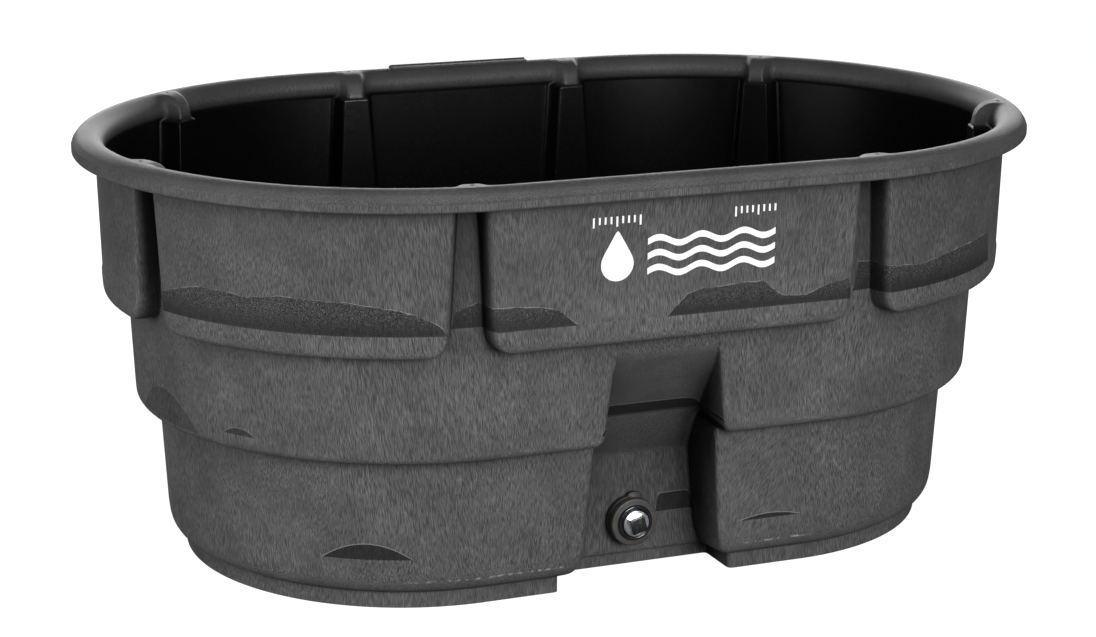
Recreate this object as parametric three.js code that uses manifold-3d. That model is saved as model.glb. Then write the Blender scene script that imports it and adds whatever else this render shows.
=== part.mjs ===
// Oval livestock water trough: one moulded tank with a threaded drain in an alcove.
// Millimetres, +Z up, length along X, drain side towards -Y, origin on the floor at the middle.
import * as THREE from 'three';
import { mergeVertices } from 'three/addons/utils/BufferGeometryUtils.js';
import Module from 'manifold-3d';

const wasm = await Module();
wasm.setup();

// ---------------------------------------------------------------- driving sizes
const LENGTH = 1473;
const WIDTH = 991;
const HEIGHT = 635;
const WALL = 7.5;
const END_R = WIDTH / 2;
const SPINE = (LENGTH - WIDTH) / 2;
const ARC_R = END_R - 38;

const PLINTH_INSET = 148.5;
const PLINTH_H = 24;
const FLOOR_Z = 9;
const SHELF_LOW = 233;
const SHELF_HIGH = 395.5;

const RIM_R = 23.6;
const RIM_Z = HEIGHT - RIM_R;

const RIBS_FRONT = 301;
const RIBS_FRONT_SHIFT = -4;
const RIBS_BACK = 191;
const RIB_END_DEG = 18.8;
const RIB_CORNER_DEG = 53;

const ALCOVE_HALF_TOP = 80;
const ALCOVE_HALF_MID = 95;
const ALCOVE_HALF_LOW = 108;
const ALCOVE_TOP_Z = 365;
const ALCOVE_BACK_Y = -277;
const NOTCH_HALF = 137;

const DRAIN_X = 2;
const DRAIN_Z = 74.5;
const TANK_BORE_R = 31.6;

const BARREL_R = 31;
const BARREL_BORE_R = 27.3;
const BUSH_BARREL_R = 27;
const BUSH_BORE_R = 20.6;
const COLLAR_R = 36.3;
const LOCK_RING_R = 36.5;
const GASKET_R = 35;
const TAB_REACH = 42.8;
const TAB_DEG = 79;
const SEAL_MID_R = 24.1;
const SEAL_BEAD_R = 3.2;
const PLUG_R = 20;
const HEAD_SIDE = 23.8;
const HEAD_DEG = 15;
const HEAD_H = 9;
const ROUND_SEGMENTS = 48;
const GAP = 0.3;

// ---------------------------------------------------------------- plan of the tank
const HALF_LAP = SPINE * 2 + Math.PI * ARC_R;
const LAP = HALF_LAP * 2;

// Place and outward normal at a distance s along the plan, from the middle of the drain side.
function planAt(s) {
  let t = ((s % LAP) + LAP) % LAP;
  if (t > LAP - SPINE) {
    t -= LAP;
  }
  if (t <= SPINE) {
    return { cx: t, nx: 0, ny: -1 };
  }
  t -= SPINE;
  if (t <= Math.PI * ARC_R) {
    const a = t / ARC_R - Math.PI / 2;
    return { cx: SPINE, nx: Math.cos(a), ny: Math.sin(a) };
  }
  t -= Math.PI * ARC_R;
  if (t <= 2 * SPINE) {
    return { cx: SPINE - t, nx: 0, ny: 1 };
  }
  t -= 2 * SPINE;
  const b = t / ARC_R + Math.PI / 2;
  return { cx: -SPINE, nx: Math.cos(b), ny: Math.sin(b) };
}

const endArc = (deg) => SPINE + ARC_R * THREE.MathUtils.degToRad(90 + deg);
const backArc = (x) => HALF_LAP - x;
const RIB_PLACES = [
  RIBS_FRONT + RIBS_FRONT_SHIFT,
  endArc(-RIB_END_DEG),
  endArc(RIB_CORNER_DEG),
  backArc(RIBS_BACK),
  backArc(-RIBS_BACK),
  LAP - endArc(RIB_CORNER_DEG),
  LAP - endArc(-RIB_END_DEG),
  LAP - RIBS_FRONT + RIBS_FRONT_SHIFT,
];

// ---------------------------------------------------------------- wall section
// Every row holds three points [inset, height]: on a panel, on a rib and in the drain alcove.
// `half` is the half width of a rib groove there and `alcove` the half width of the alcove.
const mix = (a, b, t) => a + (b - a) * t;

function ribHalf(z) {
  return 20 + Math.max(0, 600 - Math.max(z, SHELF_HIGH)) * 0.055;
}

function alcoveHalf(z) {
  if (z > SHELF_LOW) {
    return mix(ALCOVE_HALF_MID, ALCOVE_HALF_TOP, Math.min(1, (z - SHELF_LOW) / 140));
  }
  return mix(ALCOVE_HALF_LOW, ALCOVE_HALF_MID, Math.max(0, (z - 60) / (SHELF_LOW - 60)));
}

const BACK_INSET = END_R + ALCOVE_BACK_Y;
function row(panel, rib, alcove, half, width) {
  return {
    panel,
    rib: rib || panel,
    alcove: alcove || panel,
    half: half === undefined ? ribHalf(panel[1]) : half,
    width: width === undefined ? alcoveHalf(panel[1]) : width,
  };
}

const outerRows = [
  row([PLINTH_INSET, 0], null, [BACK_INSET + 5, 0], undefined, NOTCH_HALF),
  row([PLINTH_INSET, PLINTH_H], null, [BACK_INSET + 5, 17], undefined, NOTCH_HALF),
  row([134, 31], null, [BACK_INSET, 22], undefined, 121),
  row([126, 42], null, [BACK_INSET, 42], undefined, 113),
  row([123, 60], null, [BACK_INSET, 60], undefined, 109),
  row([117, 176], null, [BACK_INSET, 176]),
  row([114, 229], null, [190, 223]),
  row([109, SHELF_LOW], null, [184, 233]),
  row([86, SHELF_LOW], null, [179, 241]),
  row([80.7, 240], null, [174.5, 249]),
  row([80, 252], null, [170.5, 250.5]),
  row([75.2, ALCOVE_TOP_Z], null, [76.5, ALCOVE_TOP_Z]),
  row([74, 391], [74, 391], null, 52),
  row([69, SHELF_HIGH], [73.6, 395], null, 52),
  row([43, SHELF_HIGH], [73.4, 398], null, 50),
  row([38.3, 401], [73.2, 402], null, 41),
  row([37.8, 410], [72.9, 410], null, 35.5),
  row([37.2, 428], [72.2, 428], null, 30),
  row([34, 597], [68, 597], null),
  row([34, 618], [67, 618], null),
  row([29, 627.2], [52, 626], null),
  row([18, 627.2], [18, 627.2], null),
  row([7.6, 617], [7.6, 617], null),
  row([7, 605.4], [7, 605.4], null),
  row([1.2, 605.4], null, null),
  row([0, 608], null, null),
  row([0, 616], null, null),
  row([2.8, 620], null, null),
];

// Rolled rim: degrees round the bead from its outer side, and the lug that a rib makes of it.
const beadRows = [
  [48, null],
  [68, null],
  [88, [24, 635]],
  [110, [42, 635]],
  [135, [55, 632]],
  [160, [65, 624]],
  [182, [71, 612]],
].map(([deg, rib]) => {
  const a = THREE.MathUtils.degToRad(deg);
  const point = [RIM_R - RIM_R * Math.cos(a), RIM_Z + RIM_R * Math.sin(a)];
  return row(point, rib, null, 22);
});

const innerHalf = (z) => ribHalf(z) + 7;
const innerAlcove = (z) => alcoveHalf(z) + WALL;
function innerRow(panel, rib, alcove, half, width) {
  const h = half === undefined ? innerHalf(panel[1]) : half;
  const w = width === undefined ? innerAlcove(panel[1]) : width;
  return row(panel, rib, alcove, h, w);
}

const BACK_IN = BACK_INSET + WALL;
const innerRows = [
  innerRow([42, 596], [75.5, 596]),
  innerRow([44.6, 416], [79.8, 416]),
  innerRow([47, 405], [80.4, 406]),
  innerRow([52, SHELF_HIGH + WALL], [80.8, 404]),
  innerRow([76, SHELF_HIGH + WALL], [81, 402]),
  innerRow([81.6, 396], [81.6, 396]),
  innerRow([82.8, 367], null, [84, 367]),
  innerRow([87.3, 260], null, [172, 262]),
  innerRow([89, 246], null, [182, 250]),
  innerRow([95, SHELF_LOW + WALL], null, [187, 243]),
  innerRow([115, SHELF_LOW + WALL], null, [192, 235]),
  innerRow([121.4, 232], null, [197, 226]),
  innerRow([124.4, 178], null, [BACK_IN, 178]),
  innerRow([130.2, 66], null, [BACK_IN, 66], undefined, 116),
  innerRow([133, 50], null, [BACK_IN, 50], undefined, 119),
  innerRow([144, 37], null, [BACK_IN, 38], undefined, 129),
  innerRow([156, 31], null, [BACK_IN, 28], undefined, 140),
  innerRow([156.5, 15], null, [BACK_IN + 5.5, 18], undefined, 141.5),
  innerRow([163, FLOOR_Z], null, [BACK_IN + 12, FLOOR_Z], undefined, 147),
];

const ROWS = [...outerRows, ...beadRows, ...innerRows];

// ---------------------------------------------------------------- columns round the plan
// A column is a place along the plan; `rib` and `alcove` say how far it sits in either.
const columns = [];
function plain(s) {
  columns.push({ s, side: 0, rib: 0, alcove: 0, place: () => s });
}

function ribColumns(s) {
  [[-1, 0, 1.5], [-1, 1, -5.5], [1, 1, -5.5], [1, 0, 1.5]].forEach(([side, rib, extra]) => {
    columns.push({ s: s + side, rib, alcove: 0, place: (r) => s + side * (r.half + extra) });
  });
}

function alcoveColumns(base, list) {
  list.forEach(([factor, extra, depth]) => {
    const place = (r) => base + factor * r.width + extra;
    columns.push({ s: base + factor, rib: 0, alcove: depth, place });
  });
}

function spread(from, to, count) {
  for (let i = 1; i <= count; i += 1) {
    plain(mix(from, to, i / (count + 1)));
  }
}

function ribThen(s, next, count) {
  ribColumns(s);
  spread(s + 30, next - 30, count);
}

const [FRONT_R, END_RIB_R, CORNER_R, BACK_RIB_R, BACK_RIB_L, CORNER_L, END_RIB_L, FRONT_L] = RIB_PLACES;
alcoveColumns(0, [[0, 0, 1], [0.5, 0, 1], [1, -3, 1], [1, -1.5, 0]]);
plain(200);
ribThen(FRONT_R, END_RIB_R, 6);
ribThen(END_RIB_R, endArc(0) + 30, 1);
plain(endArc(0));
spread(endArc(0), CORNER_R - 30, 5);
ribThen(CORNER_R, BACK_RIB_R, 4);
ribThen(BACK_RIB_R, BACK_RIB_L, 3);
ribThen(BACK_RIB_L, CORNER_L, 4);
ribThen(CORNER_L, LAP - endArc(0) + 30, 5);
plain(LAP - endArc(0));
spread(LAP - endArc(0), END_RIB_L - 30, 1);
ribThen(END_RIB_L, FRONT_L, 6);
ribColumns(FRONT_L);
plain(LAP - 200);
alcoveColumns(LAP, [[-1, -1, 0], [-1, 3, 1], [-0.5, 0, 1]]);

function surfacePoint(c, r) {
  const at = planAt(c.place(r));
  let inset = mix(r.panel[0], r.rib[0], c.rib);
  let z = mix(r.panel[1], r.rib[1], c.rib);
  inset = mix(inset, r.alcove[0], c.alcove);
  z = mix(z, r.alcove[1], c.alcove);
  const reach = END_R - inset;
  return [at.cx + at.nx * reach, at.ny * reach, z];
}

// ---------------------------------------------------------------- solids helpers
function clean(geometry) {
  const g = geometry.index ? geometry : mergeVertices(geometry);
  g.deleteAttribute('normal');
  g.deleteAttribute('uv');
  return mergeVertices(g, 1e-4);
}

function toManifold(geometry) {
  const g = clean(geometry);
  const mesh = new wasm.Mesh({
    numProp: 3,
    vertProperties: new Float32Array(g.attributes.position.array),
    triVerts: new Uint32Array(g.index.array),
  });
  return new wasm.Manifold(mesh);
}

function toGeometry(manifold) {
  const mesh = manifold.getMesh();
  const g = new THREE.BufferGeometry();
  g.setAttribute('position', new THREE.BufferAttribute(new Float32Array(mesh.vertProperties), 3));
  g.setIndex(new THREE.BufferAttribute(new Uint32Array(mesh.triVerts), 1));
  g.computeVertexNormals();
  return g;
}

// Turns a closed half profile [radius, y] about the drain axis, which runs along Y.
function turned(profile) {
  const points = profile.map(([r, y]) => new THREE.Vector2(r, y));
  points.push(points[0].clone());
  const g = new THREE.LatheGeometry(points, ROUND_SEGMENTS);
  g.translate(DRAIN_X, 0, DRAIN_Z);
  return g;
}

function ring(inner, outer, front, back, chamfer = 0.6) {
  return turned([
    [inner, front],
    [outer - chamfer, front],
    [outer, front + chamfer],
    [outer, back - chamfer],
    [outer - chamfer, back],
    [inner, back],
  ]);
}

// A prism along Y from y = front, with both ends chamfered.
function prism(corners, front, depth, chamfer) {
  const shape = new THREE.Shape(corners);
  const g = new THREE.ExtrudeGeometry(shape, {
    depth: depth - 2 * chamfer,
    bevelEnabled: true,
    bevelThickness: chamfer,
    bevelSize: chamfer,
    bevelOffset: -chamfer,
    bevelSegments: 1,
    steps: 1,
  });
  g.rotateX(Math.PI / 2);
  g.translate(DRAIN_X, front + depth - chamfer, DRAIN_Z);
  return g;
}

function corners(count, radius, turn) {
  return Array.from({ length: count }, (_, i) => {
    const a = turn + (i / count) * Math.PI * 2;
    return new THREE.Vector2(radius * Math.cos(a), radius * Math.sin(a));
  });
}

// ---------------------------------------------------------------- tank shell
function tankShell() {
  const n = columns.length;
  const points = ROWS.map((r) => columns.map((c) => surfacePoint(c, r)));
  const faces = [];
  const at = (i, j) => i * n + (j % n);
  for (let i = 0; i + 1 < ROWS.length; i += 1) {
    for (let j = 0; j < n; j += 1) {
      faces.push(at(i, j), at(i, j + 1), at(i + 1, j + 1));
      faces.push(at(i, j), at(i + 1, j + 1), at(i + 1, j));
    }
  }
  const capFaces = (i) => {
    const outline = points[i].map(([x, y]) => new THREE.Vector2(x, y));
    return THREE.ShapeUtils.triangulateShape(outline, []);
  };
  capFaces(0).forEach(([a, b, c]) => faces.push(at(0, a), at(0, c), at(0, b)));
  const last = ROWS.length - 1;
  capFaces(last).forEach(([a, b, c]) => faces.push(at(last, a), at(last, b), at(last, c)));
  const g = new THREE.BufferGeometry();
  g.setAttribute('position', new THREE.Float32BufferAttribute(points.flat(2), 3));
  g.setIndex(faces);
  return toGeometry(toManifold(g).subtract(toManifold(bore(TANK_BORE_R))));
}

// ---------------------------------------------------------------- drain fitting
// The pieces stack along the drain axis from the alcove wall outwards, then inwards.
const WALL_OUT = ALCOVE_BACK_Y;
const WALL_IN = ALCOVE_BACK_Y + WALL;

const gasketFront = WALL_OUT - GAP - 5;
const ringFront = gasketFront - GAP - 7.5;
const barrelFront = ringFront - 0.3;
const washerFront = barrelFront - GAP - 1.6;
const collarBack = washerFront - GAP;
const collarFront = -304;
const plugFace = -310.5;

const innerGasketBack = WALL_IN + GAP + 3;
const flangeFront = innerGasketBack + GAP;
const flangeBack = flangeFront + 8;

// Threaded sleeve through the wall, with its flange on the wet side.
function bulkheadBody() {
  return turned([
    [BARREL_BORE_R, barrelFront],
    [BARREL_R - 1.2, barrelFront],
    [BARREL_R, barrelFront + 1.2],
    [BARREL_R, flangeFront],
    [42, flangeFront],
    [42, flangeBack - 1.5],
    [40.5, flangeBack],
    [BARREL_BORE_R, flangeBack],
  ]);
}

function bore(radius) {
  return turned([[0, -330], [radius, -330], [radius, -240], [0, -240]]);
}

// Threaded ring that holds the body against the alcove wall, with one rounded thumb tab.
function lockRing() {
  const disc = turned([
    [0, ringFront],
    [LOCK_RING_R - 0.8, ringFront],
    [LOCK_RING_R, ringFront + 0.8],
    [LOCK_RING_R, gasketFront - GAP],
    [0, gasketFront - GAP],
  ]);
  const turn = THREE.MathUtils.degToRad(TAB_DEG);
  const tip = 7;
  const outline = Array.from({ length: 13 }, (_, i) => {
    const a = mix(-1.15, 1.15, i / 12);
    return [TAB_REACH - tip + tip * Math.cos(a), tip * Math.sin(a) + 4 * a];
  });
  outline.push([28, 15], [28, -15]);
  const shape = outline.map(([out, across]) => new THREE.Vector2(
    out * Math.cos(turn) - across * Math.sin(turn),
    out * Math.sin(turn) + across * Math.cos(turn),
  ));
  const tab = toManifold(prism(shape, ringFront, gasketFront - GAP - ringFront, 0.8));
  return toGeometry(toManifold(disc).add(tab).subtract(toManifold(bore(BARREL_R + 0.35))));
}

// Screw-in collar whose hollow barrel takes the plug.
function drainBushing() {
  return turned([
    [BUSH_BORE_R, collarFront],
    [COLLAR_R - 2.5, collarFront],
    [COLLAR_R - 0.7, collarFront + 0.8],
    [COLLAR_R, collarFront + 2.5],
    [COLLAR_R, collarBack - 1],
    [COLLAR_R - 1, collarBack],
    [BUSH_BARREL_R, collarBack],
    [BUSH_BARREL_R, WALL_IN - 1],
    [BUSH_BARREL_R - 1, WALL_IN],
    [BUSH_BORE_R, WALL_IN],
  ]);
}

// Half round bead that the plug squeezes against the face of the collar.
function plugSeal() {
  const points = Array.from({ length: 9 }, (_, i) => {
    const a = (i / 8) * Math.PI;
    return [SEAL_MID_R - SEAL_BEAD_R * Math.cos(a), collarFront - GAP - SEAL_BEAD_R * Math.sin(a)];
  });
  return turned(points);
}

// Closed pipe plug with a square head for a spanner.
function pipePlug() {
  const body = turned([
    [0, plugFace],
    [PLUG_R - 1.4, plugFace],
    [PLUG_R, plugFace + 1.2],
    [PLUG_R, plugFace + 24],
    [PLUG_R - 1.5, plugFace + 26],
    [0, plugFace + 26],
  ]);
  const turn = Math.PI / 4 + THREE.MathUtils.degToRad(HEAD_DEG);
  const outline = corners(4, HEAD_SIDE / Math.SQRT2, turn);
  const head = prism(outline, plugFace - HEAD_H, HEAD_H + 4, 1.2);
  return toGeometry(toManifold(body).add(toManifold(head)));
}

// ---------------------------------------------------------------- assembly
const group = new THREE.Group();
group.name = 'livestock_water_trough';

function add(name, geometry, color, roughness, metalness = 0) {
  const material = new THREE.MeshStandardMaterial({ color, roughness, metalness });
  const mesh = new THREE.Mesh(geometry, material);
  mesh.name = name;
  group.add(mesh);
}

add('tank_shell', tankShell(), 0x2b2c2e, 0.7);
add('inner_gasket', clean(ring(BARREL_R + 0.6, 41, WALL_IN + GAP, innerGasketBack)), 0x151515, 0.8);
add('bulkhead_body', clean(bulkheadBody()), 0x202020, 0.55);
add('outer_gasket', clean(ring(BARREL_R + 0.4, GASKET_R, gasketFront, WALL_OUT - GAP)), 0x151515, 0.8);
add('lock_ring', lockRing(), 0x1c1c1c, 0.55);
add('bushing_washer', clean(ring(BARREL_BORE_R, 34, washerFront, barrelFront - GAP)), 0x101010, 0.7);
add('drain_bushing', clean(drainBushing()), 0x35332f, 0.6);
add('plug_seal', clean(plugSeal()), 0x0c0c0c, 0.2);
add('pipe_plug', pipePlug(), 0xb9bbbd, 0.28, 1);

export default group;
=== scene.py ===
"""Looks for the oval livestock water trough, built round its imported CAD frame.
Metres, +Z up, drain side towards -Y. Sizes below are millimetres unless a name says otherwise."""

import math

import bmesh
import bpy
import numpy as np
from mathutils import Matrix, Vector

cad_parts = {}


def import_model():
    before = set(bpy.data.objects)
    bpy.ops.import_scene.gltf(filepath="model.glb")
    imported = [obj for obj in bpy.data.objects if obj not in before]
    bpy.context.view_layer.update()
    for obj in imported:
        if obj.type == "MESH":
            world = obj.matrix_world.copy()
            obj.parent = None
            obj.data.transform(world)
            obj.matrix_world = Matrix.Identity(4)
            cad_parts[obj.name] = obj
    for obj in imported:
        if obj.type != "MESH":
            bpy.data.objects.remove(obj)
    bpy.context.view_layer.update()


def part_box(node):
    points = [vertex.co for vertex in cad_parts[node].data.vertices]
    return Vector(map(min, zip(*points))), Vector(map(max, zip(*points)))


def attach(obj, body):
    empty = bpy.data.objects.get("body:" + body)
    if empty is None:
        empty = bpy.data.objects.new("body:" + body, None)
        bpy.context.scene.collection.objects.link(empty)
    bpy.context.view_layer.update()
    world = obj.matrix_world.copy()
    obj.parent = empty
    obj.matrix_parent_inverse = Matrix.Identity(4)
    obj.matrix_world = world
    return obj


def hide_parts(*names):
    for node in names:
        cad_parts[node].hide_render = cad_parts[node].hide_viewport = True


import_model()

MM = 0.001

PANEL_INSET = 38

# -------------------- sizes taken from the frame
tank_low, tank_high = (np.array(corner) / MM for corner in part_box("tank_shell"))
LENGTH, WIDTH, HEIGHT = tank_high - tank_low
END_R = WIDTH / 2
SPINE = (LENGTH - WIDTH) / 2
ARC_R = END_R - PANEL_INSET
HALF_LAP = 2 * SPINE + math.pi * ARC_R
LAP = 2 * HALF_LAP

# -------------------- the tank's own sizes
WALL = 7.5
PLINTH_INSET = 148.5
PLINTH_H = 24
FLOOR_Z = 9
SHELF_LOW = 233
SHELF_HIGH = 395.5
PANEL_CORNER_TOP = 430
RIM_R = 23.6
RIM_Z = HEIGHT - RIM_R
ALCOVE_TOP_Z = 365
ALCOVE_BACK_Y = -277
ALCOVE_INSET = END_R + ALCOVE_BACK_Y
NOTCH_HALF = 137
RIB_DEPTH = 34
RIB_HALF = 20
RIB_TAPER_TOP_Z = 600
RIB_TAPER = 0.055
RIB_FLARE = 22
RIB_FLARE_LEAD = 6
ALCOVE_HALF_TOP = 80
ALCOVE_HALF_SHELF = 95
ALCOVE_HALF_FOOT = 108
ALCOVE_TAPER_H = 140
ALCOVE_FOOT_Z = 60
LUG_HALF = 22
LUG_TOP_INSET = 33
LUG_DOT_R = 3
LUG_DOT_DEPTH = 4.5
END_FULLNESS = 10
NECK_Z = 620.5
NECK_DEPTH = 2.2
NECK_SPREAD = 2.5
# the neck is only on the part of the lip with insets below this one
NECK_INSETS = 8
# how far the faces of the basin side are moved along the plan in the UV layer, to tell them from the outside
BASIN_OFFSET = 20000
# a face whose outward share is below this one faces the basin
FACES_IN = -0.02

# -------------------- the drain fitting's sizes
PITCH = 2.209
GAP = 0.3
DRAIN_X = 2
DRAIN_Z = 74.5
TANK_BORE_R = 31.6
BORE_CUT = 50
BARREL_R = 31
BARREL_BORE_R = 27.3
BUSH_BARREL_R = 27
BUSH_BORE_R = 20.6
COLLAR_R = 36.3
LOCK_RING_R = 36.5
GASKET_R = 35
TAB_REACH = 42.8
TAB_DEG = 79
SEAL_MID_R = 24.1
SEAL_BEAD_R = 3.2
PLUG_R = 20
PLUG_LENGTH = 26
HEAD_SIDE = 23.8
HEAD_DEG = 15
HEAD_H = 9
GASKET_T = 5
LOCK_RING_T = 7.5
WASHER_T = 1.6
INNER_GASKET_T = 3
WALL_OUT = ALCOVE_BACK_Y
WALL_IN = WALL_OUT + WALL
GASKET_FRONT = WALL_OUT - GAP - GASKET_T
RING_FRONT = GASKET_FRONT - GAP - LOCK_RING_T
BARREL_FRONT = RING_FRONT - GAP
WASHER_FRONT = BARREL_FRONT - GAP - WASHER_T
COLLAR_BACK = WASHER_FRONT - GAP
COLLAR_FRONT = -304
PLUG_FACE = -310.5
FLANGE_Y = WALL_IN + GAP + INNER_GASKET_T + GAP
FLANGE_R = 42
FLANGE_T = 8
INNER_GASKET_R = 41
WASHER_R = 34
TAB_R = 7
TAB_FOOT_R = 33
TAB_FOOT_HALF = 14.4
TAB_SPREAD = 4
TAB_HALF_TURN = 1.15

# -------------------- marks in and on the plastic
PAD_FROM = -114
PAD_TO = 125
# (angle round the bead in degrees, lift over the bead) of the rim pad's section
PAD_SECTION = [(56, -1.5), (58, 4.6), (70, 5.0), (82, 5.2), (83.5, 3.0), (96, 3.0), (108, 2.8), (110, -1.5)]
# which points of that section rise and fall along the pad
PAD_RAGGED_POINTS = (1, 2)
PAD_SHARP_DEG = 28
INK_SUNK = 0.1
INK_PROUD = 0.2
# (inset, height) of the foot and the head of a panel's outer face
PANEL_FOOT = (PANEL_INSET, 430.2)
PANEL_HEAD = (34, 596)
DROP_PLACE = (-97, 510)
DROP_R = 24
DROP_H = 46
WAVE_SPAN = (-52, 141)
WAVE_HEIGHTS = (496, 517, 538)
WAVE_HALF = 4.5
WAVE_SWING = 5
WAVE_LENGTH = 64
# (first bar's place, number of bars) of each group of tick bars
TICK_GROUPS = [(-134, 9), (78, 8)]
TICK_STEP = 8.6
TICK_WIDTH = 2.6
TICK_TOP = 577
TICK_FOOT = 567
LONG_TICK_FOOT = 563
FLOW_BASE_Z = 428
FLOW_SPAN = 60
# (distance round the plan, height) along the top edge of the flow marks over the upper step
FLOW_TOPS = [
    (-800, 428), (-788, 428), (-785, 455), (-735, 469), (-696, 477), (-652, 477), (-619, 471.5), (-573, 479),
    (-474, 475), (-401, 466), (-374, 456), (-347, 442), (-337, 428), (-328, 428), (-324, 453), (-288, 466),
    (-283, 463), (-237, 462), (-201, 459), (-182, 453), (-157, 432), (-152, 428), (-22, 428), (-18, 431),
    (10, 459.5), (29, 465), (126, 468), (145, 452), (153, 444), (177, 441.5), (195, 443), (231, 454),
    (260, 460), (268, 428), (292, 428), (296, 472), (312, 472), (384, 463), (479, 473), (593, 476),
    (602, 428), (620, 428),
]
# (from, to, foot, peak, flatness of the arch, strength of its edge, strength inside) of the small flow marks
LENSES = [
    (-950, -757, 243, 292, 2, 0, 0.5), (-701, -637, 257, 268, 2, 0.3, 0.8), (-547, -387, 81, 105, 2, 0.7, 1),
    (136, 239, 82, 90, 2, 0.7, 1), (47, 104, 77, 106, 14, 0.7, 1), (-100, 94, 251.5, 271, 9, 0.6, 1),
]
# sideways run for each metre of height: the two usual ones, and the one beside the alcove
FIBRE_LEANS = [-0.12, 0.1, 0.45]

# -------------------- sizes of the stage, light and camera
FLOOR_HALF = 30
FLOOR_GLOW = 0.97
WORLD_STRENGTH = 0.16
# (name, place, aim, (width, height)) in metres and the power in watts
LIGHTS = [
    ("front", (0.3, -4.1, 1.5), (0.1, -0.3, 0.3), (1.7, 1.5), 186),
    ("side", (-4.0, -1.0, 1.1), (-0.5, 0, 0.3), (1.2, 1.5), 105),
    ("rim", (1.2, 3.6, 1.6), (0, 0.2, 0.5), (5.4, 1.5), 170),
]
SENSOR_WIDTH = 36
CAMERA_LENS = 84.3556
CAMERA_AZIMUTH = -21.507
CAMERA_ELEVATION = 14.972
CAMERA_ROLL = 0.222
CAMERA_DISTANCE = 3985.63
CAMERA_TARGET = (-16.8, 0.34, 310.95)


def mix(a, b, t):
    return a + (b - a) * t


def end_arc(degrees):
    """Distance round the plan to a place on the right end, 0 at the end's middle and -90 where it starts."""
    return SPINE + ARC_R * math.radians(90 + degrees)


# places of the rib grooves round the plan, starting on the right of the alcove
RIBS = [
    297,
    end_arc(-18.8),
    end_arc(53),
    HALF_LAP - 191,
    HALF_LAP + 191,
    LAP - end_arc(53),
    LAP - end_arc(-18.8),
    LAP - 305,
]


def plan_at(s):
    """Place on the spine, and the outward direction, at a distance s from the middle of the drain side."""
    t = np.mod(s + SPINE, LAP) - SPINE
    right = t - SPINE
    back = right - math.pi * ARC_R
    left = back - 2 * SPINE
    spans = [t <= SPINE, back <= 0, left <= 0]
    x = np.select(spans, [t, SPINE + 0 * t, SPINE - back], -SPINE)
    turn = np.select(spans, [0 * t, right / ARC_R, math.pi + 0 * t], left / ARC_R + math.pi) - math.pi / 2
    return x, np.cos(turn), np.sin(turn)


# -------------------- wall section of the tank
def rib_half(z):
    """Half width of a rib groove at a height."""
    base = RIB_HALF + max(0, RIB_TAPER_TOP_Z - max(z, SHELF_HIGH)) * RIB_TAPER
    if SHELF_HIGH - RIB_FLARE_LEAD < z < PANEL_CORNER_TOP:
        rise = (PANEL_CORNER_TOP - max(z, SHELF_HIGH)) / (PANEL_CORNER_TOP - SHELF_HIGH)
        base += RIB_FLARE * (1 - math.sqrt(max(0, 1 - rise * rise)))
    return base


def alcove_half(z):
    """Half width of the drain alcove at a height."""
    if z > SHELF_LOW:
        return mix(ALCOVE_HALF_SHELF, ALCOVE_HALF_TOP, min(1, (z - SHELF_LOW) / ALCOVE_TAPER_H))
    return mix(ALCOVE_HALF_FOOT, ALCOVE_HALF_SHELF, max(0, (z - ALCOVE_FOOT_Z) / (SHELF_LOW - ALCOVE_FOOT_Z)))


def row(panel, rib=None, alcove=None, half=None, width=None, trim=3, steps=1, soft=1):
    """One control row of the section: [inset, height] on a panel, on a rib and in the alcove.

    half and width are the half widths of a rib groove and of the alcove, and soft widens the groove's round.
    trim is how far the round at this row reaches, and steps divides the run to the next row."""
    rib = rib or panel
    alcove = alcove or panel
    half = rib_half(panel[1]) if half is None else half
    width = alcove_half(panel[1]) if width is None else width
    return [*panel, *rib, *alcove, half, width, soft], trim, steps


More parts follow.
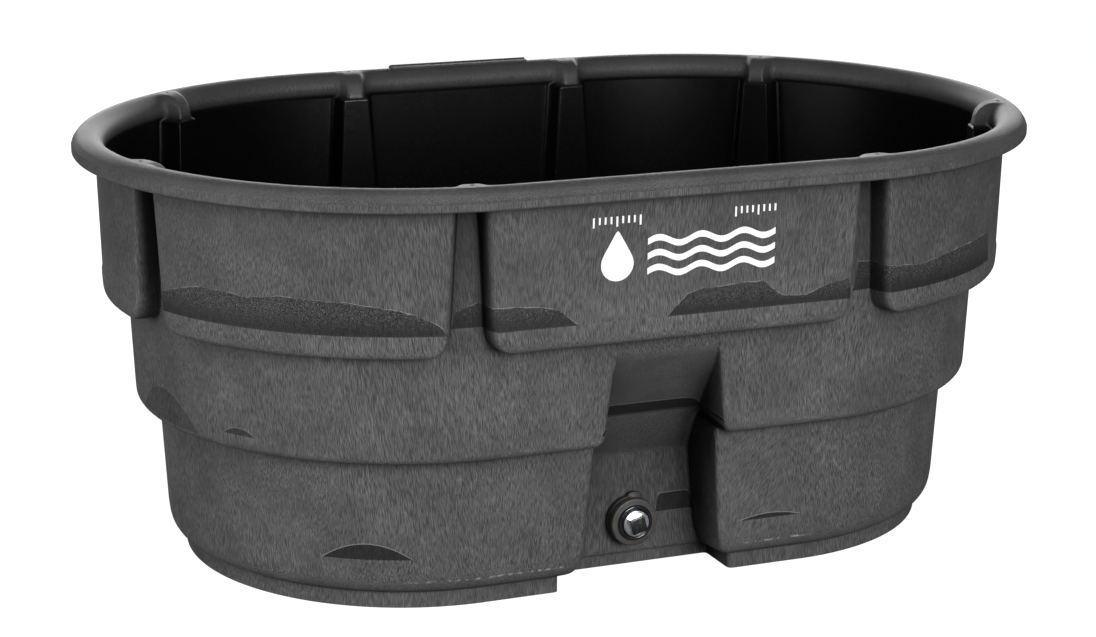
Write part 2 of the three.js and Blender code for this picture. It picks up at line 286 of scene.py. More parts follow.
def outer_rows():
    """The outside of the wall, from the underside up to the bead."""
    back = ALCOVE_INSET
    low = [
        row([PLINTH_INSET, 0], alcove=[back + 5, 0], width=NOTCH_HALF, steps=2),
        row([PLINTH_INSET, PLINTH_H], alcove=[back + 5, 17], width=NOTCH_HALF, trim=2),
        row([134, 31], alcove=[back, 22], width=121, trim=5),
        row([126, 42], alcove=[back, 42], width=113, trim=8),
        row([123, 60], alcove=[back, 60], width=109, trim=8, steps=5),
        row([117, 176], alcove=[back, 176], trim=6, steps=3),
        row([114, 229], alcove=[190, 223], trim=3),
        row([109, SHELF_LOW], alcove=[184, 233], trim=2, width=alcove_half(SHELF_LOW) + 2),
        row([86.5, SHELF_LOW], alcove=[179, 241], trim=5, width=alcove_half(SHELF_LOW) + 7),
        row([80.7, 240], alcove=[174.5, 249], trim=4, width=alcove_half(SHELF_LOW) + 1),
        row([80, 252], alcove=[170.5, 250.5], trim=0.8, steps=7),
        row([75.2, ALCOVE_TOP_Z], alcove=[76.5, ALCOVE_TOP_Z], trim=12, steps=2),
        row([74, 391], rib=[74, 391], half=56, trim=1.2),
    ]
    panel = [
        row([69, SHELF_HIGH], rib=[73.6, 395], half=56, trim=1.5),
        row([43, SHELF_HIGH], rib=[73.4, 398], half=53, trim=4),
        row([38.6, 401], rib=[73.2, 402], half=41, trim=3),
        row([37.6, 409], rib=[72.9, 409], half=35.5, trim=3),
        row([37, 418], rib=[72.5, 418], half=31.5, trim=3),
        row([36.8, 428.4], rib=[72.2, 428.4], half=30, trim=0.4),
        row([38.0, 430.2], rib=[72.2, 430.2], half=29.5, trim=0.4, steps=6),
        row([34, 596], rib=[68, 596], trim=0, steps=2),
        row([34, 618], rib=[67, 618], trim=3),
    ]
    lip = [
        row([29, 627.2], rib=[52, 626], trim=3),
        row([18, 627.2], trim=3),
        row([7.6, 617], trim=2),
        row([7.2, 605.2], trim=0.3),
        row([1.4, 605.2], trim=1.2),
        row([0, 607.5], trim=0.8),
        row([0, 616], trim=0.5),
        row([3.0, 619.4], trim=1.6),
    ]
    return low + panel + lip


def bead_rows():
    """The rolled rim, from its outer side over the top to the inside, with the lugs over the ribs."""
    # [inset, height] of a lug, by the angle round the bead
    lug = {
        86: [20, 635], 95: [26, 635], 104: [33, 635], 113: [40, 634.8], 122: [46, 634], 131: [52, 632.4],
        140: [58, 629.4], 149: [63, 625.6], 158: [66.6, 621.4], 167: [69, 617], 176: [70.6, 612],
        185: [71.6, 606],
    }
    rows = []
    for degrees in [44, 51, 58, 65, 72, 79, *lug]:
        a = math.radians(degrees)
        point = [RIM_R - RIM_R * math.cos(a), RIM_Z + RIM_R * math.sin(a)]
        rows.append(row(point, rib=lug.get(degrees), half=LUG_HALF, trim=0, soft=1.7))
    return rows


GROOVE_WALL = 7


def inner_row(panel, rib=None, alcove=None, half=None, width=None, trim=3, steps=1, soft=1):
    """A control row of the basin side, where grooves and alcove are wider by the wall around them."""
    half = rib_half(panel[1]) + GROOVE_WALL if half is None else half
    width = alcove_half(panel[1]) + WALL if width is None else width
    return row(panel, rib, alcove, half, width, trim, steps, soft)


def inner_rows():
    """The basin side of the wall, from under the bead down to the floor."""
    back = ALCOVE_INSET + WALL
    return [
        inner_row([45.5, 600], rib=[73.5, 597], trim=2, half=23, soft=1.5),
        inner_row([42, 596], rib=[75.5, 594], trim=2, steps=4),
        inner_row([44.6, 416], rib=[79.8, 416], trim=6),
        inner_row([47, 405], rib=[80.4, 406], trim=3),
        inner_row([52, SHELF_HIGH + WALL], rib=[80.8, 404], trim=3),
        inner_row([76, SHELF_HIGH + WALL], rib=[81, 402], trim=4),
        inner_row([81.6, 396], trim=3),
        inner_row([82.8, 367], alcove=[84, 367], trim=10, steps=3),
        inner_row([87.3, 260], alcove=[172, 262], trim=4),
        inner_row([89, 246], alcove=[182, 250], trim=5),
        inner_row([95, SHELF_LOW + WALL], alcove=[187, 243], trim=4),
        inner_row([115, SHELF_LOW + WALL], alcove=[192, 235], trim=4),
        inner_row([121.4, 232], alcove=[197, 226], trim=5, steps=3),
        inner_row([124.4, 178], alcove=[back, 178], trim=5, steps=3),
        inner_row([130.2, 66], alcove=[back, 66], width=116, trim=10),
        inner_row([133, 50], alcove=[back, 50], width=119, trim=8),
        inner_row([144, 37], alcove=[back, 38], width=129, trim=5),
        inner_row([156, 31], alcove=[back, 28], width=140, trim=3),
        inner_row([156.5, 15], alcove=[back + 5.5, 18], width=141.5, trim=3),
        inner_row([163, FLOOR_Z], alcove=[back + 12, FLOOR_Z], width=147, trim=4),
        inner_row([190, FLOOR_Z], alcove=[back + 30, FLOOR_Z], width=152, trim=0),
    ]


CORNER_STEPS = 3
LONGEST_TRIM = 0.45
SHORTEST_RUN = 1e-6


def fine_rows(controls):
    """Rounds each corner of the section by its trim and divides the straight runs between."""
    points = np.array([c[0] for c in controls])
    trims = [c[1] for c in controls]
    steps = [c[2] for c in controls]
    n = len(points)

    def share(i, j, trim):
        """How far a corner's round reaches from row i towards row j, for each of the row's values."""
        part = np.empty(points.shape[1])
        for k in (0, 2, 4):
            run = np.hypot(*(points[j, k:k + 2] - points[i, k:k + 2]))
            part[k:k + 2] = min(LONGEST_TRIM, trim / max(run, SHORTEST_RUN))
        part[6:] = part[0]
        return part

    fine = [points[0]]
    last = points[0]
    for i in range(1, n):
        corner = 0 < i < n - 1 and trims[i] > 0
        start = points[i] + (points[i - 1] - points[i]) * share(i, i - 1, trims[i]) if corner else points[i]
        for k in range(1, steps[i - 1]):
            fine.append(mix(last, start, k / steps[i - 1]))
        if corner:
            stop = points[i] + (points[i + 1] - points[i]) * share(i, i + 1, trims[i])
            for k in range(CORNER_STEPS + 1):
                t = k / CORNER_STEPS
                fine.append(mix(mix(start, points[i], t), mix(points[i], stop, t), t))
            last = stop
        else:
            fine.append(points[i])
            last = points[i]
    return np.array(fine)


def rounded_corner(before, here, after, trim, steps, longest):
    """Points of the round that replaces a corner. It reaches trim, or the longest share of a short side."""
    start = here + (before - here) * min(longest, trim / max(np.hypot(*(before - here)), SHORTEST_RUN))
    stop = here + (after - here) * min(longest, trim / max(np.hypot(*(after - here)), SHORTEST_RUN))
    shares = [k / steps for k in range(steps + 1)]
    return [mix(mix(start, here, t), mix(here, stop, t), t) for t in shares]


def rounded_path(points, trims, counts):
    """Points along a bent line whose inner corners are rounded, always the same number of them."""
    points = [np.array(p, float) for p in points]
    out = [points[0]]
    for i in range(1, len(points) - 1):
        out += rounded_corner(*points[i - 1:i + 2], trims[i - 1], counts[i - 1], 0.48)
    out.append(points[-1])
    return np.array(out)


PLAIN_STEP = 20
RIB_REACH = 84
ALCOVE_REACH = 192
# [distance from the edge, depth] across the side of a rib groove, and the rounds of its two corners
GROOVE_SIDE = [[16, 0], [1.5, 0], [-5.5, RIB_DEPTH], [-10, RIB_DEPTH]]
GROOVE_TRIMS = [13, 4.4]
GROOVE_STEPS = [5, 3]
LEAST_DEPTH = 0.01


def columns(rows):
    """The columns of the grid: distance round the plan, rib share and alcove share, each as [row, column]."""
    count = len(rows)
    half, width, soft = rows[:, 6], rows[:, 7], rows[:, 8]
    depth = np.hypot(rows[:, 4] - rows[:, 0], rows[:, 5] - rows[:, 1])
    zero, one = np.zeros(count), np.ones(count)
    made = []

    def plain(start, stop):
        n = max(1, round((stop - start) / PLAIN_STEP))
        for k in range(n + 1):
            made.append((mix(start, stop, k / n) + zero, zero, zero))

    groove = rounded_path(GROOVE_SIDE, GROOVE_TRIMS, GROOVE_STEPS)
    edge = [(soft * x, y / RIB_DEPTH + zero) for x, y in groove]

    def rib(s0):
        outermost = half + edge[0][0]
        left = [(s0 - mix(outermost, RIB_REACH, f), zero, zero) for f in (0.68, 0.34)]
        left += [(s0 - half - x, w, zero) for x, w in edge]
        left.append((s0 - (half + edge[-1][0]) * 0.5, one, zero))
        right = [(2 * s0 - s, w, a) for s, w, a in reversed(left)]
        made.extend([*left, (s0 + zero, one, zero), *right])

    def alcove_side():
        """From the middle of the alcove to the panel beside it."""
        paths = []
        for r in range(count):
            d = max(depth[r], LEAST_DEPTH)
            outer, inner = min(9.0, LONGEST_TRIM * d), min(7.0, LONGEST_TRIM * d)
            path = rounded_path([[18, 0], [-1.5, 0], [-4, d], [-20, d]], [outer, inner], [5, 4])
            path[:, 1] /= d
            paths.append(path[::-1])
        paths = np.array(paths)
        side = [(zero, zero, one)]
        for f in (0.16, 0.33, 0.5, 0.67, 0.84):
            side.append(((width + paths[:, 0, 0]) * f, zero, one))
        for k in range(paths.shape[1]):
            side.append((width + paths[:, k, 0], zero, paths[:, k, 1]))
        outermost = width + paths[:, -1, 0]
        for f in (0.33, 0.67):
            side.append((mix(outermost, ALCOVE_REACH, f), zero, zero))
        return side

    side = alcove_side()
    made.extend(side)
    last = ALCOVE_REACH
    for s0 in RIBS:
        plain(last, s0 - RIB_REACH)
        rib(s0)
        last = s0 + RIB_REACH
    plain(last, LAP - ALCOVE_REACH)
    made.extend((LAP - s, w, a) for s, w, a in reversed(side[1:]))
    return [np.stack(part, axis=1) for part in zip(*made)]


def tank_grid():
    """The tank's whole skin, outside and in, as a grid of points [row, column, xyz]."""
    rows = fine_rows(outer_rows() + bead_rows() + inner_rows())
    s, rib_share, alcove_share = columns(rows)
    section = []
    for k in (0, 1):
        value = mix(rows[:, [k]], rows[:, [2 + k]], rib_share)
        section.append(mix(value, rows[:, [4 + k]], alcove_share))
    inset, z = section
    x, nx, ny = plan_at(s)
    end = np.abs(nx)
    neck = NECK_DEPTH * np.exp(-((z - NECK_Z) / NECK_SPREAD) ** 2) * (inset < NECK_INSETS) * end ** 2
    reach = END_R - inset + neck + END_FULLNESS * end * (1 - end)
    return np.stack([x + nx * reach, ny * reach, z], axis=2)


def mesh_from(name, vertices, faces, smooth=True):
    mesh = bpy.data.meshes.new(name)
    mesh.from_pydata([tuple(v) for v in vertices], [], [tuple(f) for f in faces])
    mesh.validate()
    if smooth:
        mesh.shade_smooth()
    obj = bpy.data.objects.new(name, mesh)
    bpy.context.scene.collection.objects.link(obj)
    return obj


def apply_modifiers(obj):
    """Replaces the object's mesh by what its modifiers make of it."""
    graph = bpy.context.evaluated_depsgraph_get()
    made = bpy.data.meshes.new_from_object(obj.evaluated_get(graph))
    obj.modifiers.clear()
    old = obj.data
    obj.data = made
    bpy.data.meshes.remove(old)
    return obj


def subtract(obj, cutters):
    for cutter in cutters:
        cut = obj.modifiers.new("cut", "BOOLEAN")
        cut.operation = "DIFFERENCE"
        cut.solver = "MANIFOLD"
        cut.object = cutter
    apply_modifiers(obj)
    for cutter in cutters:
        bpy.data.objects.remove(cutter)


def object_from(bm, name):
    """Makes an object of the mesh being built and frees it."""
    mesh = bpy.data.meshes.new(name)
    bm.to_mesh(mesh)
    bm.free()
    obj = bpy.data.objects.new(name, mesh)
    bpy.context.scene.collection.objects.link(obj)
    return obj


def cylinder(radius, depth, place, axis, segments):
    """A closed cylinder to cut with. Its sizes are millimetres and its centre metres."""
    bm = bmesh.new()
    bmesh.ops.create_cone(bm, cap_ends=True, segments=segments, radius1=radius * MM, radius2=radius * MM,
                          depth=depth * MM)
    obj = object_from(bm, "cutter")
    obj.matrix_world = Matrix.Translation(place) @ Vector(axis).to_track_quat("Z", "Y").to_matrix().to_4x4()
    return obj


def place_on_plan(x, y):
    """Distance round the plan of places in millimetres, 0 in front and a seam at the back's middle."""
    arc = SPINE + ARC_R * (np.arctan2(y, np.maximum(np.abs(x) - SPINE, 0)) + math.pi / 2)
    straight = np.where(y < 0, np.abs(x), HALF_LAP - np.abs(x))
    s = np.where(np.abs(x) > SPINE, arc, straight)
    return np.where(x < 0, -s, s)


def map_plan(obj):
    """A UV layer holding metres round the plan and metres of height, with the basin side moved off."""
    mesh = obj.data
    places = np.empty(len(mesh.vertices) * 3)
    mesh.vertices.foreach_get("co", places)
    x, y, z = places.reshape(-1, 3).T / MM
    s = place_on_plan(x, y)
    corner = np.empty(len(mesh.loops), int)
    mesh.loops.foreach_get("vertex_index", corner)
    face = np.repeat(np.arange(len(mesh.polygons)), [len(p.vertices) for p in mesh.polygons])
    facing = np.empty(len(mesh.polygons) * 3)
    mesh.polygons.foreach_get("normal", facing)
    facing = facing.reshape(-1, 3)[face]
    u = s[corner]
    lowest = np.full(len(mesh.polygons), np.inf)
    np.minimum.at(lowest, face, u)
    u = np.where((u > 0) & (u - lowest[face] > HALF_LAP), u - LAP, u)
    _, nx, ny = plan_at(s[corner])
    u = np.where(facing[:, 0] * nx + facing[:, 1] * ny < FACES_IN, u + BASIN_OFFSET, u)
    layer = mesh.uv_layers.new(name="plan")
    layer.data.foreach_set("uv", (np.stack([u, z[corner]], axis=1) * MM).ravel())


def tank_moulding():
    """The whole tank as one closed skin, with the drain bore and the dots on the lugs cut into it."""
    points = tank_grid()
    rows, cols = points.shape[:2]
    index = np.arange(rows * cols).reshape(rows, cols)
    nxt = np.roll(index, -1, axis=1)
    faces = np.stack([index[:-1], nxt[:-1], nxt[1:], index[1:]], axis=2).reshape(-1, 4).tolist()
    faces.append(index[0, ::-1].tolist())
    faces.append(index[-1].tolist())
    obj = mesh_from("tank_moulding", points.reshape(-1, 3) * MM, faces)
    cutters = [cylinder(TANK_BORE_R, BORE_CUT, drain_axis(WALL_OUT), (0, 1, 0), 96)]
    for s0 in RIBS:
        x, nx, ny = (float(v) for v in plan_at(np.array(float(s0))))
        reach = END_R - LUG_TOP_INSET
        top = Vector((x + nx * reach, ny * reach, HEIGHT)) * MM
        cutters.append(cylinder(LUG_DOT_R, 2 * LUG_DOT_DEPTH, top, (0, 0, 1), 20))
    subtract(obj, cutters)
    obj.data.shade_smooth()
    flat_caps(obj)
    obj.modifiers.new("normals", "WEIGHTED_NORMAL").keep_sharp = True
    apply_modifiers(obj)
    map_plan(obj)
    return dress(obj, "tank", "tank_plastic", "tank_shell")


LEVEL = 0.9999


def flat_caps(obj):
    """Shades the underside, the basin floor and the bottoms of the lug dots flat."""
    for face in obj.data.polygons:
        if len(face.vertices) > 8 or abs(face.normal.z) > LEVEL:
            face.use_smooth = False


def dress(obj, body, slot, *nodes):
    """Puts a piece on its body, in place of CAD nodes, with its slot and the finish of the same name."""
    obj.data.materials.clear()
    obj.data.materials.append(finish(slot))
    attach(obj, body)
    if nodes:
        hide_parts(*nodes)
    return obj


# -------------------- drain fitting
def drain_axis(y):
    """A place on the drain's axis in metres."""
    return Vector((DRAIN_X, y, DRAIN_Z)) * MM


def rounded_section(corners, radius, steps=4):
    """A section [radius, y] with its corners rounded. A third number in a corner overrides the round."""
    out = []
    count = len(corners)
    for i, corner in enumerate(corners):
        three = (corners[i - 1], corner, corners[(i + 1) % count])
        before, here, after = (np.array(c[:2], float) for c in three)
        trim = corner[2] if len(corner) > 2 else radius
        if trim == 0 or here[0] == 0:
            out.append(here)
        else:
            out += rounded_corner(before, here, after, trim, steps, 0.49)
    return out


def turned(name, corners, radius=0.5, thread=None, segments=96):
    """A section [radius, y] turned about the drain axis.

    thread = (radius, from y, to y, depth) is a helical thread cut into the run at that radius."""
    section = rounded_section(corners, radius)
    if thread:
        section = with_thread_rows(section, thread)
    solid_core = corners[0][0] == 0
    if not solid_core:
        section.append(section[0])
    vertices, rings = [], []
    for r, y in section:
        if r == 0:
            rings.append([len(vertices)] * segments)
            vertices.append((DRAIN_X * MM, y * MM, DRAIN_Z * MM))
            continue
        rings.append(list(range(len(vertices), len(vertices) + segments)))
        for j in range(segments):
            a = 2 * math.pi * j / segments
            cut = thread_cut(r, y, j / segments, thread) if thread else 0
            x, z = DRAIN_X + (r - cut) * math.cos(a), DRAIN_Z + (r - cut) * math.sin(a)
            vertices.append((x * MM, y * MM, z * MM))
    if not solid_core:
        rings[-1] = rings[0]
        vertices = vertices[:-segments]
    faces = []
    for low, high in zip(rings, rings[1:]):
        for j in range(segments):
            k = (j + 1) % segments
            face = list(dict.fromkeys([low[j], high[j], high[k], low[k]]))
            if len(face) > 2:
                faces.append(face)
    return face_outwards(mesh_from(name, vertices, faces))


def face_outwards(obj):
    bm = bmesh.new()
    bm.from_mesh(obj.data)
    bmesh.ops.recalc_face_normals(bm, faces=bm.faces)
    bm.to_mesh(obj.data)
    bm.free()
    return obj


SAME_RADIUS = 0.02
ROWS_PER_TURN = 8


def with_thread_rows(section, thread):
    """Adds rows along the threaded run."""
    radius = thread[0]
    out = [section[0]]
    for a, b in zip(section, section[1:]):
        run = abs(b[1] - a[1])
        if abs(a[0] - radius) < SAME_RADIUS and abs(b[0] - radius) < SAME_RADIUS and run > PITCH:
            n = math.ceil(run / PITCH * ROWS_PER_TURN)
            out += [mix(a, b, k / n) for k in range(1, n)]
        out.append(b)
    return out


def thread_cut(r, y, turn, thread):
    """How far the thread cuts into a place at a share of a turn, fading out over one pitch at each end."""
    radius, low, high, depth = thread
    if abs(r - radius) > SAME_RADIUS or not low < y < high:
        return 0
    fade = min(1, (y - low) / PITCH, (high - y) / PITCH)
    return depth * fade * (0.5 - 0.5 * math.cos(2 * math.pi * (y / PITCH - turn)))


def flat_ring(name, inner, outer, front, back, radius):
    """A ring of rectangular section about the drain axis, its edges rounded by radius."""
    return turned(name, [[inner, front], [outer, front], [outer, back], [inner, back]], radius)


def inner_gasket():
    obj = flat_ring("inner_gasket_ring", BARREL_R + 0.6, INNER_GASKET_R, WALL_IN + GAP, FLANGE_Y - GAP, 0.7)
    return dress(obj, "tank", "black_rubber", "inner_gasket")


def bulkhead_body():
    front, end = BARREL_FRONT, FLANGE_Y + FLANGE_T
    obj = turned("bulkhead_sleeve", [
        [BARREL_BORE_R, front, 0.6], [BARREL_R, front, 1.1], [BARREL_R, FLANGE_Y, 0],
        [FLANGE_R, FLANGE_Y, 0.5], [FLANGE_R, end, 1.6], [38, end, 0.4], [37, end - 1, 0.4],
        [32, end - 1, 0.4], [BARREL_R, end, 0.4], [BARREL_BORE_R, end, 1],
    ], thread=(BARREL_R, front + 1, WALL_OUT, 0.7))
    return dress(obj, "tank", "fitting_plastic", "bulkhead_body")


def outer_gasket():
    obj = flat_ring("outer_gasket_ring", BARREL_R + 0.4, GASKET_R, GASKET_FRONT, WALL_OUT - GAP, 0.9)
    return dress(obj, "tank", "black_rubber", "outer_gasket")


def lock_ring():
    """The ring that clamps the sleeve to the wall, with a rounded tab on its upper edge."""
    back = GASKET_FRONT - GAP
    disc = turned("lock_ring_tabbed", [
        [BARREL_R + 0.35, RING_FRONT, 0.8], [33.4, RING_FRONT, 0.2], [33.9, RING_FRONT + 0.5, 0.2],
        [LOCK_RING_R, RING_FRONT + 0.5, 1.0], [LOCK_RING_R, back, 0.6], [BARREL_R + 0.35, back, 0.5],
    ])
    bm = bmesh.new()
    outline = [(TAB_REACH - TAB_R + TAB_R * math.cos(a), TAB_R * math.sin(a) + TAB_SPREAD * a)
               for a in np.linspace(-TAB_HALF_TURN, TAB_HALF_TURN, 17)]
    outline += [(TAB_FOOT_R, TAB_FOOT_HALF), (TAB_FOOT_R, -TAB_FOOT_HALF)]
    turn = math.radians(TAB_DEG)
    corners = []
    for out, across in outline:
        x = DRAIN_X + out * math.cos(turn) - across * math.sin(turn)
        z = DRAIN_Z + out * math.sin(turn) + across * math.cos(turn)
        corners.append(bm.verts.new((x * MM, (RING_FRONT + 0.4) * MM, z * MM)))
    prism_up(bm, corners, (0, (back - RING_FRONT - 0.8) * MM, 0))
    tab = object_from(bm, "tab")
    round_edges(tab, 0.7 * MM, 3)
    join_solids(disc, tab)
    return dress(disc, "tank", "fitting_plastic", "lock_ring")


def bushing_washer():
    obj = flat_ring("collar_washer", BARREL_BORE_R, WASHER_R, WASHER_FRONT, BARREL_FRONT - GAP, 0.5)
    return dress(obj, "collar_travel", "black_rubber", "bushing_washer")


def drain_bushing():
    """The collar that screws into the sleeve."""
    obj = turned("drain_collar", [
        [BUSH_BORE_R, COLLAR_FRONT, 1.2], [27.9, COLLAR_FRONT, 0.3], [28.3, COLLAR_FRONT + 0.35, 0.3],
        [COLLAR_R, COLLAR_FRONT + 0.55, 2.7], [COLLAR_R, COLLAR_BACK, 0.9],
        [BUSH_BARREL_R, COLLAR_BACK, 0.4], [BUSH_BARREL_R, WALL_IN, 1.2], [BUSH_BORE_R, WALL_IN, 0.8],
    ], thread=(BUSH_BARREL_R, COLLAR_BACK + 1, WALL_IN - 1, 0.8), segments=128)
    return dress(obj, "collar", "collar_plastic", "drain_bushing")


def plug_seal():
    back = COLLAR_FRONT - GAP
    arc = [[SEAL_MID_R - SEAL_BEAD_R * math.cos(a), back - SEAL_BEAD_R * math.sin(a), 0]
           for a in np.linspace(0, math.pi, 19)]
    obj = turned("plug_bead", arc, 0, segments=128)
    return dress(obj, "plug_travel", "seal_rubber", "plug_seal")


def pipe_plug():
    """The plated plug: a threaded body and a square head turned a little about the axis."""
    end = PLUG_FACE + PLUG_LENGTH
    body = turned("square_head_plug", [
        [0, PLUG_FACE], [PLUG_R - 2.6, PLUG_FACE, 0.3], [PLUG_R - 2.2, PLUG_FACE + 0.35, 0.3],
        [PLUG_R, PLUG_FACE + 0.35, 1.1], [PLUG_R, end, 1.5], [0, end],
    ], thread=(PLUG_R, PLUG_FACE + 2.5, end - 1, 0.8), segments=128)
    bm = bmesh.new()
    turn = math.radians(45 + HEAD_DEG)
    corners = []
    for i in range(4):
        a = turn + i * math.pi / 2
        r = HEAD_SIDE / math.sqrt(2)
        x, z = DRAIN_X + r * math.cos(a), DRAIN_Z + r * math.sin(a)
        corners.append(bm.verts.new((x * MM, (PLUG_FACE - HEAD_H) * MM, z * MM)))
    prism_up(bm, corners, (0, (HEAD_H + 3) * MM, 0))
    head = object_from(bm, "head")
    round_edges(head, 1.5 * MM, 4)
    join_solids(body, head)
    return dress(body, "plug", "plated_steel", "pipe_plug")


def prism_up(bm, corners, move):
    """Fills an outline and pulls it out to a closed prism."""
    face = bm.faces.new(corners)
    grown = bmesh.ops.extrude_face_region(bm, geom=[face])
    bmesh.ops.translate(bm, vec=move, verts=[g for g in grown["geom"] if isinstance(g, bmesh.types.BMVert)])
    bmesh.ops.recalc_face_normals(bm, faces=bm.faces)


BEVEL_OVER_DEG = 35
SHARP_OVER_DEG = 40


def round_edges(obj, width, segments):
    bevel = obj.modifiers.new("round", "BEVEL")
    bevel.width = width
    bevel.segments = segments
    bevel.limit_method = "ANGLE"
    bevel.angle_limit = math.radians(BEVEL_OVER_DEG)
    apply_modifiers(obj)


def join_solids(obj, other):
    """Makes one closed solid of two that overlap."""
    union = obj.modifiers.new("union", "BOOLEAN")
    union.operation = "UNION"
    union.solver = "MANIFOLD"
    union.object = other
    apply_modifiers(obj)
    bpy.data.objects.remove(other)
    obj.data.shade_smooth()
    obj.data.set_sharp_from_angle(angle=math.radians(SHARP_OVER_DEG))


# -------------------- rim pad and printed mark
def rim_pad():
    """A low pad on the crown of the far rim: two steps across the bead, the outer one with a ragged top."""
    stations = np.linspace(PAD_FROM, PAD_TO, 122)
    vertices = []
    for i, x in enumerate(stations):
        ragged = 0.7 * math.sin(i * 2.1) * math.sin(i * 0.7)
        for k, (degrees, lift) in enumerate(PAD_SECTION):
            a = math.radians(degrees)
            r = RIM_R + lift + (ragged if k in PAD_RAGGED_POINTS else 0)
            y = END_R - RIM_R + r * math.cos(a)
            vertices.append((x * MM, y * MM, (RIM_Z + r * math.sin(a)) * MM))
    n = len(PAD_SECTION)
    faces = []
    for i in range(len(stations) - 1):
        for k in range(n):
            j = (k + 1) % n
            faces.append((i * n + k, i * n + j, (i + 1) * n + j, (i + 1) * n + k))
    faces.append(tuple(range(n))[::-1])
    faces.append(tuple(range((len(stations) - 1) * n, len(stations) * n)))
    obj = face_outwards(mesh_from("rim_pad", vertices, faces))
    obj.data.set_sharp_from_angle(angle=math.radians(PAD_SHARP_DEG))
    map_plan(obj)
    return dress(obj, "tank", "tank_plastic")


def panel_inset(z):
    """Inset of the outer face of a front panel at a height."""
    foot_inset, foot_z = PANEL_FOOT
    head_inset, head_z = PANEL_HEAD
    return mix(foot_inset, head_inset, (z - foot_z) / (head_z - foot_z))


def printed(name, outlines):
    """A thin closed skin of ink for each outline [x, z] on the front panel, all in one piece on the tank."""
    bm = bmesh.new()
    for outline in outlines:
        corners = []
        for x, z in outline:
            y = -(END_R - panel_inset(z)) + INK_SUNK
            corners.append(bm.verts.new((x * MM, y * MM, z * MM)))
        prism_up(bm, corners, (0, -(INK_SUNK + INK_PROUD) * MM, 0))
    obj = object_from(bm, name)
    obj.data.materials.append(finish("white_ink"))
    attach(obj, "tank")
    return obj


def wave_bar(z):
    """The outline of a wavy bar round a height."""
    xs = np.linspace(*WAVE_SPAN, 61)
    mid = z + WAVE_SWING * np.sin((xs - WAVE_SPAN[0]) / WAVE_LENGTH * 2 * math.pi)
    top = [(x, m + WAVE_HALF) for x, m in zip(xs, mid)]
    return top + [(x, m - WAVE_HALF) for x, m in zip(xs[::-1], mid[::-1])]


def drop():
    """The outline of a falling drop: a round bottom drawn up to a point."""
    x, z = DROP_PLACE
    out = []
    for a in np.linspace(-math.pi, math.pi, 48, endpoint=False):
        lift = max(0, math.cos(a)) ** 3
        across = DROP_R * math.sin(a) * (1 - 0.55 * lift)
        out.append((x + across, z + DROP_R * math.cos(a) + (DROP_H - DROP_R) * lift))
    return out


def front_print():
    """A generic water mark: a drop, three wavy bars and two groups of tick bars."""
    outlines = [drop()] + [wave_bar(z) for z in WAVE_HEIGHTS]
    for first, count in TICK_GROUPS:
        for i in range(count):
            x = first + TICK_STEP * i
            foot = TICK_FOOT if i % 4 else LONG_TICK_FOOT
            outlines.append([(x, foot), (x + TICK_WIDTH, foot), (x + TICK_WIDTH, TICK_TOP), (x, TICK_TOP)])
    return printed("front_print", outlines)


# -------------------- finishes
class Finish:
    """A procedural material: a Principled shader and the nodes that feed it."""

    def __init__(self, name, roughness, metallic=0.0, specular=0.5):
        self.material = bpy.data.materials.new(name)
        self.material.use_nodes = True
        self.tree = self.material.node_tree
        self.shader = self.tree.nodes["Principled BSDF"]
        self.shader.inputs["Roughness"].default_value = roughness
        self.shader.inputs["Metallic"].default_value = metallic
        self.shader.inputs["Specular IOR Level"].default_value = specular
        self.place = self.node("TexCoord").outputs["Object"]

    def node(self, kind, inputs=(), **settings):
        made = self.tree.nodes.new("ShaderNode" + kind)
        for key, value in settings.items():
            setattr(made, key, value)
        for socket, value in zip(made.inputs, inputs):
            self.feed(socket, value)
        return made

    def feed(self, socket, value):
        if isinstance(value, bpy.types.NodeSocket):
            self.tree.links.new(value, socket)
        elif value is not None:
            socket.default_value = value

    def math(self, operation, *values, clamp=False):
        return self.node("Math", values, operation=operation, use_clamp=clamp).outputs[0]

    def add(self, *values):
        total = values[0]
        for value in values[1:]:
            total = self.math("ADD", total, value)
        return total

    def times(self, *values):
        total = values[0]
        for value in values[1:]:
            total = self.math("MULTIPLY", total, value)
        return total

    def step(self, value, low, high, start=0.0, stop=1.0):
        """Runs smoothly from start to stop while value goes from low to high."""
        flip = low > high
        if flip:
            low, high, start, stop = high, low, stop, start
        inputs = (value, low, high, start, stop)
        return self.node("MapRange", inputs, interpolation_type="SMOOTHSTEP").outputs[0]

    def between(self, value, low, high, soft):
        """1 where value lies between low and high, with soft edges."""
        above = self.step(value, low - soft, low + soft)
        return self.times(above, self.step(value, high + soft, high - soft))

    def blend(self, share, a, b):
        """a where share is 0 and b where it is 1."""
        return self.add(self.times(b, share), self.times(a, self.math("SUBTRACT", 1, share)))

    def noise(self, scale, stretch=(1, 1, 1), detail=3, roughness=0.55, at=None):
        place = self.node("VectorMath", (at or self.place, stretch), operation="MULTIPLY").outputs[0]
        made = self.node("TexNoise")
        self.feed(made.inputs["Vector"], place)
        made.inputs["Scale"].default_value = scale
        made.inputs["Detail"].default_value = detail
        made.inputs["Roughness"].default_value = roughness
        return made.outputs[0]

    def mix(self, share, a, b):
        made = self.node("Mix", data_type="RGBA")
        for socket, value in zip((made.inputs[0], made.inputs[6], made.inputs[7]), (share, a, b)):
            if isinstance(value, tuple):
                value = (*value, 1)
            self.feed(socket, value)
        return made.outputs[2]

    def color(self, value):
        self.feed(self.shader.inputs["Base Color"], value)

    def rough(self, value):
        self.feed(self.shader.inputs["Roughness"], value)

    def bump(self, height, distance):
        made = self.node("Bump")
        made.inputs["Distance"].default_value = distance
        self.feed(made.inputs["Height"], height)
        self.feed(self.shader.inputs["Normal"], made.outputs[0])


